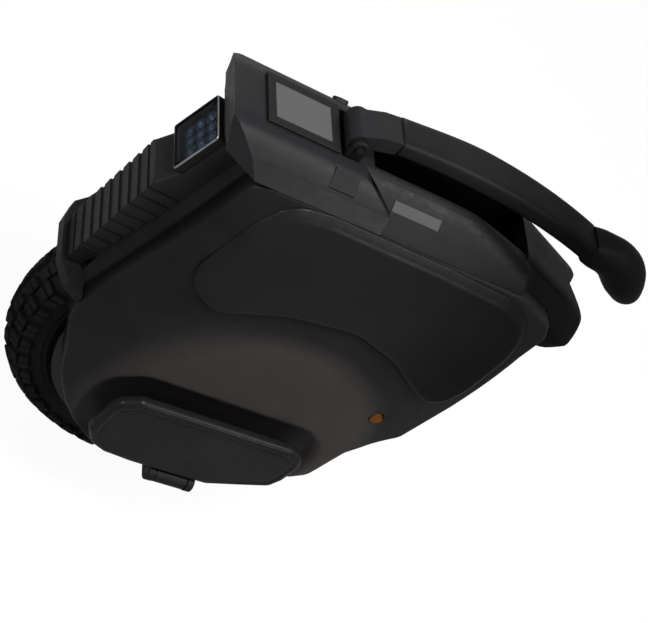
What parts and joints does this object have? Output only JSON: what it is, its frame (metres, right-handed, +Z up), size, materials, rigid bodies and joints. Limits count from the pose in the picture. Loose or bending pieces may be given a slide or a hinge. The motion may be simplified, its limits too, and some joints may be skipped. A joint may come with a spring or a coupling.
{
  "type": "electric unicycle",
  "caption": "Self-balancing electric unicycle: one hub-motor wheel in a padded body, with pedals that fold up, a top display, a headlight and a hinged carrying handle.",
  "frame": {"origin": "the point of the ground under the axle where the tyre stands, with the machine upright", "axes": "+X forwards, towards the headlight; +Y to the rider's left, along the axle; +Z up"},
  "size_m": [0.5634, 0.247, 0.6276],
  "materials": {
    "tyre_rubber": "matte black tread rubber",
    "tube_rubber": "plain black",
    "rim_metal": "cast, painted satin black",
    "steel": "bright zinc",
    "motor_iron": "dull grey",
    "copper": "enamelled copper",
    "frame_metal": "painted satin black",
    "shell_plastic": "fine-grained near black",
    "cover_plastic": "satin dark grey",
    "pad_foam": "soft moulded foam skin",
    "grip_rubber": "matte black",
    "bright_rim": "polished",
    "clear_lens": "clear",
    "led_white": "pale lamp board",
    "screen_trim": "glossy black",
    "screen_grey": "unlit screen",
    "board_green": "circuit board",
    "button_black": "satin black",
    "label_silver": "pale grey, blank",
    "red_lens": "clear red",
    "amber_lens": "clear amber",
    "battery_wrap": "shrink wrap",
    "heatsink_metal": "bare"
  },
  "bodies": {
    "chassis": {"motor_cable": "tube_rubber", "axle": "steel", "axle_nuts": "steel", "hanger_bolts": "steel", "shell_screws": "steel", "handle_pin": "steel", "pedal_pins": "steel", "stator_core": "motor_iron", "stator_windings": "copper", "wheel_well": "frame_metal", "hanger_left": "frame_metal", "hanger_right": "frame_metal", "handle_yoke": "frame_metal", "side_shell_left": "shell_plastic", "side_shell_right": "shell_plastic", "front_mudguard": "shell_plastic", "rear_mudguard": "shell_plastic", "headlight_housing": "shell_plastic", "head_cover": "cover_plastic", "middle_cover": "cover_plastic", "tail_cover": "cover_plastic", "side_pad_left": "pad_foam", "side_pad_right": "pad_foam", "headlight_bezel": "bright_rim", "headlight_lens": "clear_lens", "headlight_leds": "led_white", "display_frame": "screen_trim", "charge_socket": "screen_trim", "buzzer": "screen_trim", "display_screen": "screen_grey", "display_board": "board_green", "control_board": "board_green", "label_plate": "label_silver", "taillight_lens": "red_lens", "side_reflectors": "amber_lens", "battery_left": "battery_wrap", "battery_right": "battery_wrap", "heatsink": "heatsink_metal"},
    "wheel": {"tyre": "tyre_rubber", "inner_tube": "tube_rubber", "valve_stem": "steel", "motor_rim": "rim_metal", "motor_cover_left": "rim_metal", "motor_cover_right": "rim_metal", "motor_cover_screws": "steel", "magnet_ring": "motor_iron", "bearing_left": "steel", "bearing_right": "steel"},
    "left_pedal": {"pedal_left": "frame_metal", "pedal_grip_left": "grip_rubber"},
    "right_pedal": {"pedal_right": "frame_metal", "pedal_grip_right": "grip_rubber"},
    "handle": {"handle_root": "cover_plastic", "handle_arm": "cover_plastic", "handle_grip": "grip_rubber"},
    "lift_key": {"lift_button": "button_black"},
    "power_key": {"power_button": "button_black"},
    "charge_flap": {"charge_port_cover": "cover_plastic"}
  },
  "joints": [
    {"name": "wheel_spin", "type": "hinge", "parent": "chassis", "child": "wheel", "pos_m": [0, 0, 0.235], "axis": [0, 1, 0], "continuous": true},
    {"name": "left_pedal_fold", "type": "hinge", "parent": "chassis", "child": "left_pedal", "pos_m": [0, 0.113, 0.13], "axis": [-1, 0, 0], "range_deg": [0, 88]},
    {"name": "right_pedal_fold", "type": "hinge", "parent": "chassis", "child": "right_pedal", "pos_m": [0, -0.113, 0.13], "axis": [1, 0, 0], "range_deg": [0, 88]},
    {"name": "handle_lift", "type": "hinge", "parent": "chassis", "child": "handle", "pos_m": [0.084, 0, 0.601], "axis": [0, 1, 0], "range_deg": [0, 100]},
    {"name": "lift_key_press", "type": "slide", "parent": "handle", "child": "lift_key", "axis": [0, 0, 1], "range_m": [0, 0.0015], "stiffness_N_per_m": 400, "springref_m": -0.001},
    {"name": "power_key_press", "type": "slide", "parent": "chassis", "child": "power_key", "axis": [0, 0.7071, -0.7071], "range_m": [0, 0.002], "stiffness_N_per_m": 400, "springref_m": -0.001},
    {"name": "charge_flap_hinge", "type": "hinge", "parent": "chassis", "child": "charge_flap", "pos_m": [0.088, 0.05584, 0.57539], "axis": [-1, 0, 0], "range_deg": [0, 95]}
  ]
}
